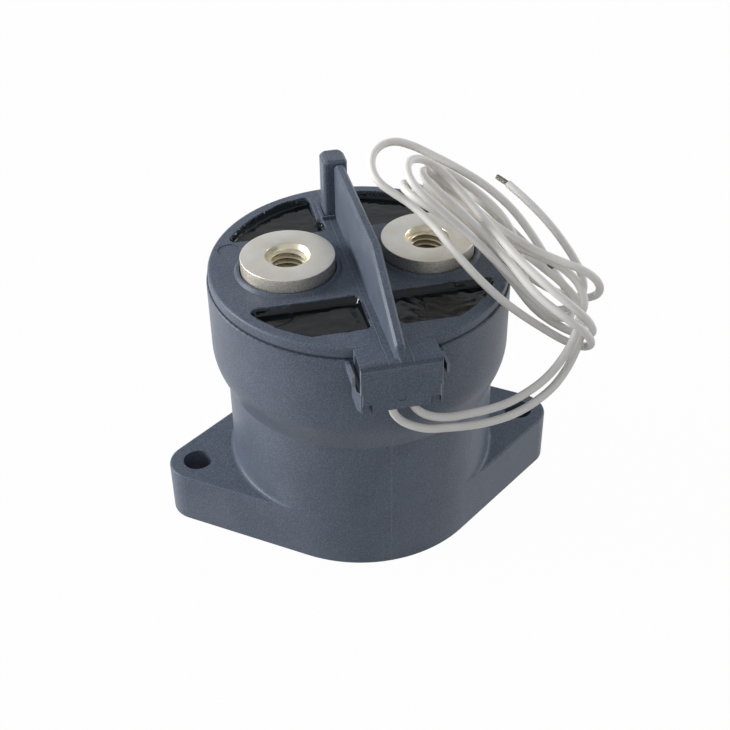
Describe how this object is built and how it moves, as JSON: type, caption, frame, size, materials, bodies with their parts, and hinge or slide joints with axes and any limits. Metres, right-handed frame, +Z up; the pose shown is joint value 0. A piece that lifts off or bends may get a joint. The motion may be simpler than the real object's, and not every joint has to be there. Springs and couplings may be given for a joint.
{
  "type": "high voltage dc contactor",
  "caption": "Sealed round-bodied DC contactor with a flanged base, tapped disc terminals, a barrier fin between them and flying coil leads in a loose hank.",
  "frame": {"origin": "centre of the base face, midway between the two mounting holes", "axes": "+Z up along the body, +X along the line of the mounting holes towards the side where the leads hang, wire hood towards -Y"},
  "size_m": [0.0933, 0.0712, 0.0871],
  "materials": {
    "slate_plastic": "moulded, matt",
    "black_resin": "poured, glossy",
    "plated_terminal": "nickel plated, satin",
    "seal_alloy": "plain",
    "contact_silver": "plain",
    "white_ceramic": "fired, unglazed",
    "bare_copper": "bright",
    "magnet": "sintered",
    "spring_steel": "drawn",
    "bright_steel": "turned",
    "soft_iron": "zinc plated",
    "black_plastic": "moulded",
    "enamelled_copper": "enamelled, wound",
    "lead_insulation": "extruded, satin",
    "tinned_strand": "stranded, tinned"
  },
  "bodies": {
    "casing": {"housing": "slate_plastic", "top_cover": "slate_plastic", "potting_compound": "black_resin", "terminal_left": "plated_terminal", "terminal_right": "plated_terminal", "terminal_seals": "seal_alloy", "fixed_contact_tips": "contact_silver", "arc_chamber": "white_ceramic", "chamber_frame": "seal_alloy", "exhaust_tube": "bare_copper", "blowout_magnets": "magnet", "return_spring": "spring_steel", "pole_piece": "soft_iron", "yoke_plate": "soft_iron", "yoke_cup": "soft_iron", "guide_sleeve": "bright_steel", "coil_bobbin": "black_plastic", "coil_winding": "enamelled_copper", "lead_left": "lead_insulation", "lead_right": "lead_insulation", "lead_hank": "lead_insulation", "lead_tail": "lead_insulation", "lead_strand": "tinned_strand"},
    "plunger": {"plunger": "soft_iron", "plunger_shaft": "bright_steel", "bridge_clip": "spring_steel", "spring_seat": "spring_steel", "contact_spring": "spring_steel"},
    "bridge": {"contact_bridge": "bare_copper", "bridge_tips": "contact_silver"}
  },
  "joints": [
    {"name": "plunger_slide", "type": "slide", "parent": "casing", "child": "plunger", "axis": [0, 0, 1], "range_m": [0, 0.002], "stiffness_N_per_m": 900, "springref_m": -0.004, "deforming": ["return_spring"]},
    {"name": "bridge_slide", "type": "slide", "parent": "plunger", "child": "bridge", "axis": [0, 0, 1], "range_m": [-0.00062, 0], "deforming": ["contact_spring"]}
  ],
  "couplings": [
    {"joint": "bridge_slide", "follows": "plunger_slide", "ratio": -0.31}
  ]
}
